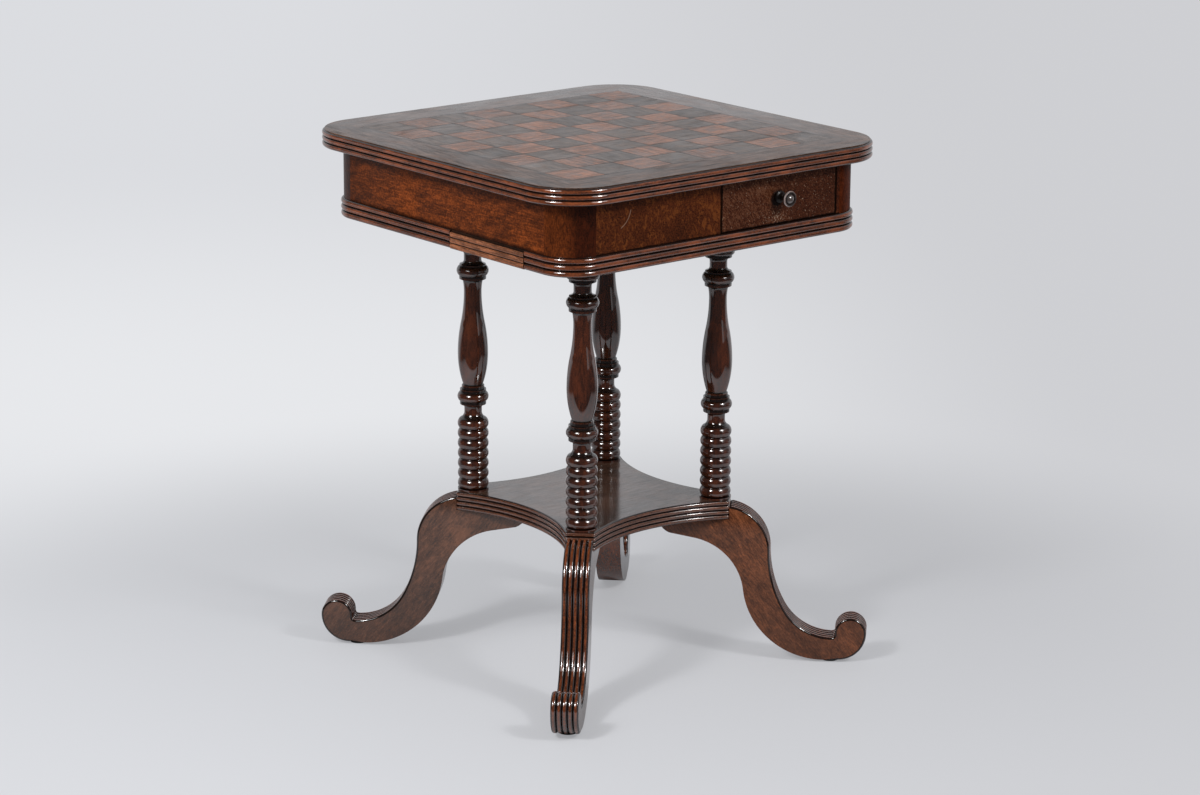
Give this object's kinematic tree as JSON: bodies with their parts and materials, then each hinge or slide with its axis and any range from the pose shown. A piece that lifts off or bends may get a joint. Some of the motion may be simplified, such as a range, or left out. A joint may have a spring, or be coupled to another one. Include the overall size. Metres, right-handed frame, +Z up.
{
  "type": "chess table",
  "caption": "Square games table with inlaid chequered board, reeded edges, one frieze drawer, turned columns, hollow-sided platform and scrolled reeded legs.",
  "frame": {"origin": "on the floor, under the middle of the table", "axes": "+Z up; the drawer opens towards -Y; +X is to the right when facing the drawer from outside"},
  "size_m": [0.558, 0.558, 0.718],
  "materials": {
    "mahogany": "polished, dark red-brown",
    "flame_veneer": "polished figured veneer",
    "burr_veneer": "polished speckled veneer",
    "light_veneer": "satin veneer",
    "dark_veneer": "satin veneer",
    "border_veneer": "satin veneer",
    "secondary_wood": "bare planed wood",
    "screw_steel": "dull steel",
    "pad_leather": "dark leather"
  },
  "bodies": {
    "table": {"top_board": "mahogany", "light_squares": "light_veneer", "dark_squares": "dark_veneer", "border_front": "border_veneer", "border_right": "border_veneer", "border_back": "border_veneer", "border_left": "border_veneer", "base_board": "secondary_wood", "lower_moulding_front": "mahogany", "lower_moulding_right": "mahogany", "lower_moulding_back": "mahogany", "lower_moulding_left_rear": "mahogany", "lower_moulding_left_patch": "mahogany", "lower_moulding_left_near": "mahogany", "post_front_left": "flame_veneer", "post_front_right": "flame_veneer", "post_back_right": "flame_veneer", "post_back_left": "flame_veneer", "frieze_left": "flame_veneer", "frieze_right": "flame_veneer", "frieze_back": "flame_veneer", "frieze_front": "burr_veneer", "drawer_stile": "burr_veneer", "drawer_guide_left": "secondary_wood", "drawer_guide_right": "secondary_wood", "drawer_kicker_left": "secondary_wood", "drawer_kicker_right": "secondary_wood", "drawer_stops": "secondary_wood", "glue_blocks": "secondary_wood", "base_screws": "screw_steel", "column_front_left": "mahogany", "column_front_right": "mahogany", "column_back_right": "mahogany", "column_back_left": "mahogany", "platform": "mahogany", "leg_front_left": "mahogany", "leg_front_right": "mahogany", "leg_back_right": "mahogany", "leg_back_left": "mahogany", "leg_screws": "screw_steel", "foot_pad_front_left": "pad_leather", "foot_pad_front_right": "pad_leather", "foot_pad_back_right": "pad_leather", "foot_pad_back_left": "pad_leather"},
    "drawer": {"drawer_front": "burr_veneer", "drawer_side_left": "secondary_wood", "drawer_side_right": "secondary_wood", "drawer_back": "secondary_wood", "drawer_bottom": "secondary_wood", "drawer_knob": "mahogany"}
  },
  "joints": [
    {"name": "drawer_slide", "type": "slide", "parent": "table", "child": "drawer", "axis": [0, -1, 0], "range_m": [0, 0.25]}
  ]
}
